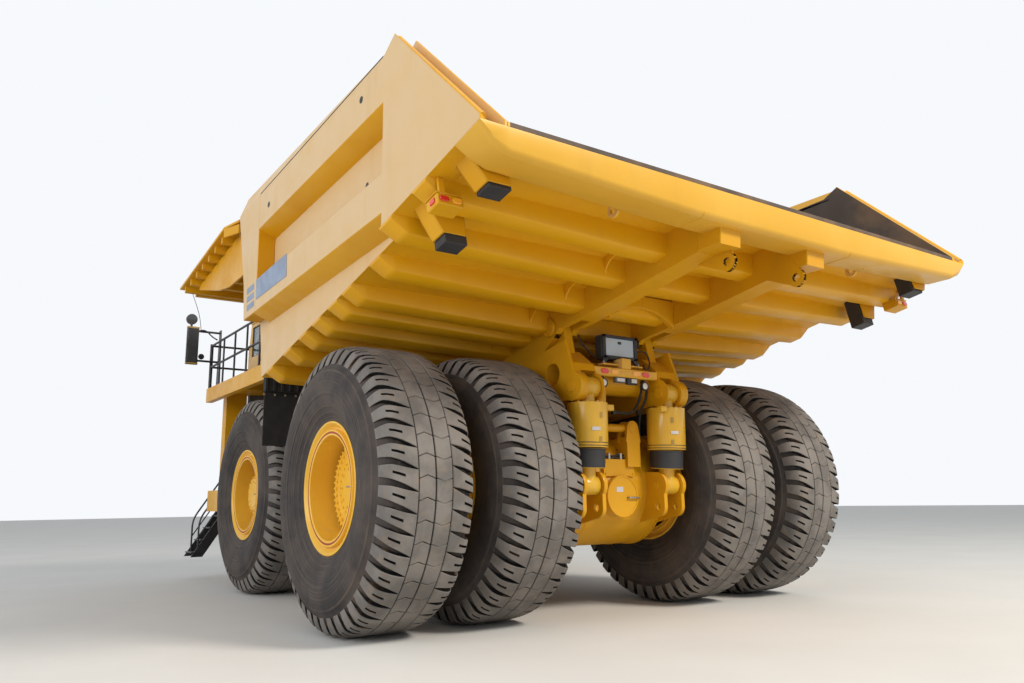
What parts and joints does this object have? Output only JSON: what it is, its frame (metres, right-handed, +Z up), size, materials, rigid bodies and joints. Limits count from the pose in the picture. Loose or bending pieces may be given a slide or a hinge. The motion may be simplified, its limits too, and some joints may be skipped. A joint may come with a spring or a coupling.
{
  "type": "mining dump truck",
  "caption": "Rigid mining dump truck with a tipping bed, canopy over cab and deck, dual rear wheels, steered front wheels and a front stair.",
  "frame": {"origin": "middle of the truck's length and width, on the ground", "axes": "+Y to the tail, -Y to the front, +X to the truck's left, +Z up"},
  "size_m": [10, 15.6, 7.58],
  "materials": {
    "black_paint": "satin",
    "engine_iron": "rough",
    "flap_rubber": "matt",
    "lamp_lens": "gloss",
    "rim_paint": "satin",
    "rod_chrome": "polished",
    "seat_fabric": "woven",
    "strut_paint": "satin",
    "tyre_rubber": "matt",
    "yellow_paint": "satin"
  },
  "bodies": {
    "chassis": {"frame": "yellow_paint", "bumper": "yellow_paint", "grille": "black_paint", "engine": "engine_iron", "fuel_tank": "yellow_paint", "hydraulic_tank": "yellow_paint", "deck": "yellow_paint", "handrails": "black_paint", "cab_shell": "yellow_paint", "cab_seat": "seat_fabric", "control_cabinet": "yellow_paint", "grid_box": "yellow_paint", "air_cleaners": "yellow_paint", "stairs": "black_paint", "mirrors": "black_paint", "front_struts": "yellow_paint", "axle_housing": "yellow_paint", "sway_rod": "yellow_paint", "rear_struts": "strut_paint", "rear_lamp_bar": "yellow_paint", "mud_flaps": "flap_rubber"},
    "door": {"cab_door": "yellow_paint"},
    "knuckle_left": {"knuckle_left": "yellow_paint"},
    "knuckle_right": {"knuckle_right": "yellow_paint"},
    "tie_rod": {"tie_rod": "yellow_paint"},
    "front_wheel_left": {"front_tyre_left": "tyre_rubber", "front_rim_left": "rim_paint"},
    "front_wheel_right": {"front_tyre_right": "tyre_rubber", "front_rim_right": "rim_paint"},
    "rear_wheels_left": {"rear_tyres_left": "tyre_rubber", "rear_rims_left": "rim_paint"},
    "rear_wheels_right": {"rear_tyres_right": "tyre_rubber", "rear_rims_right": "rim_paint"},
    "bed": {"bed_floor": "yellow_paint", "bed_bolsters": "yellow_paint", "bed_rails": "yellow_paint", "bed_side_left": "yellow_paint", "bed_side_right": "yellow_paint", "bed_front": "yellow_paint", "canopy": "yellow_paint", "tail_beam": "yellow_paint", "exhaust_boxes": "yellow_paint", "tail_lamps": "lamp_lens"},
    "hoist_barrel_left": {"hoist_barrel_left": "yellow_paint"},
    "hoist_stage_left": {"hoist_stage_left": "rod_chrome"},
    "hoist_rod_left": {"hoist_rod_left": "rod_chrome"},
    "hoist_barrel_right": {"hoist_barrel_right": "yellow_paint"},
    "hoist_stage_right": {"hoist_stage_right": "rod_chrome"},
    "hoist_rod_right": {"hoist_rod_right": "rod_chrome"}
  },
  "joints": [
    {"name": "bed_tip", "type": "hinge", "parent": "chassis", "child": "bed", "pos_m": [0, 4.03, 4.53], "axis": [-1, 0, 0], "range_deg": [0, 45]},
    {"name": "door_swing", "type": "hinge", "parent": "chassis", "child": "door", "pos_m": [3.024, -3.97, 5], "axis": [0, 0, 1], "range_deg": [0, 85]},
    {"name": "steer_left", "type": "hinge", "parent": "chassis", "child": "knuckle_left", "pos_m": [1.75, -3.1, 1.5], "axis": [0, 0, 1], "range_deg": [-32, 32]},
    {"name": "front_spin_left", "type": "hinge", "parent": "knuckle_left", "child": "front_wheel_left", "pos_m": [3.15, -3.1, 2], "axis": [1, 0, 0], "continuous": true},
    {"name": "rear_spin_left", "type": "hinge", "parent": "chassis", "child": "rear_wheels_left", "pos_m": [2.11, 3.35, 2], "axis": [1, 0, 0], "continuous": true},
    {"name": "steer_right", "type": "hinge", "parent": "chassis", "child": "knuckle_right", "pos_m": [-1.75, -3.1, 1.5], "axis": [0, 0, 1], "range_deg": [-32, 32]},
    {"name": "front_spin_right", "type": "hinge", "parent": "knuckle_right", "child": "front_wheel_right", "pos_m": [-3.15, -3.1, 2], "axis": [1, 0, 0], "continuous": true},
    {"name": "rear_spin_right", "type": "hinge", "parent": "chassis", "child": "rear_wheels_right", "pos_m": [-2.11, 3.35, 2], "axis": [1, 0, 0], "continuous": true},
    {"name": "tie_rod_pivot", "type": "hinge", "parent": "knuckle_left", "child": "tie_rod", "pos_m": [1.75, -2.3, 1.55], "axis": [0, 0, 1], "range_deg": [-32, 32]},
    {"name": "hoist_tilt_left", "type": "hinge", "parent": "chassis", "child": "hoist_barrel_left", "pos_m": [1.42, 1, 1.55], "axis": [-1, 0, 0], "range_deg": [0, 5.06]},
    {"name": "hoist_first_left", "type": "slide", "parent": "hoist_barrel_left", "child": "hoist_stage_left", "axis": [0, 0, 1], "range_m": [0, 1.1807]},
    {"name": "hoist_second_left", "type": "slide", "parent": "hoist_stage_left", "child": "hoist_rod_left", "axis": [0, 0, 1], "range_m": [0, 1.1807]},
    {"name": "hoist_tilt_right", "type": "hinge", "parent": "chassis", "child": "hoist_barrel_right", "pos_m": [-1.42, 1, 1.55], "axis": [-1, 0, 0], "range_deg": [0, 5.06]},
    {"name": "hoist_first_right", "type": "slide", "parent": "hoist_barrel_right", "child": "hoist_stage_right", "axis": [0, 0, 1], "range_m": [0, 1.1807]},
    {"name": "hoist_second_right", "type": "slide", "parent": "hoist_stage_right", "child": "hoist_rod_right", "axis": [0, 0, 1], "range_m": [0, 1.1807]}
  ],
  "couplings": [
    {"joint": "steer_right", "follows": "steer_left", "ratio": 1},
    {"joint": "tie_rod_pivot", "follows": "steer_left", "ratio": -1},
    {"joint": "hoist_tilt_left", "follows": "bed_tip", "ratio": 0.11126},
    {"joint": "hoist_first_left", "follows": "bed_tip", "m_per_rad": 1.5021},
    {"joint": "hoist_second_left", "follows": "bed_tip", "m_per_rad": 1.5021},
    {"joint": "hoist_tilt_right", "follows": "bed_tip", "ratio": 0.11126},
    {"joint": "hoist_first_right", "follows": "bed_tip", "m_per_rad": 1.5021},
    {"joint": "hoist_second_right", "follows": "bed_tip", "m_per_rad": 1.5021}
  ]
}
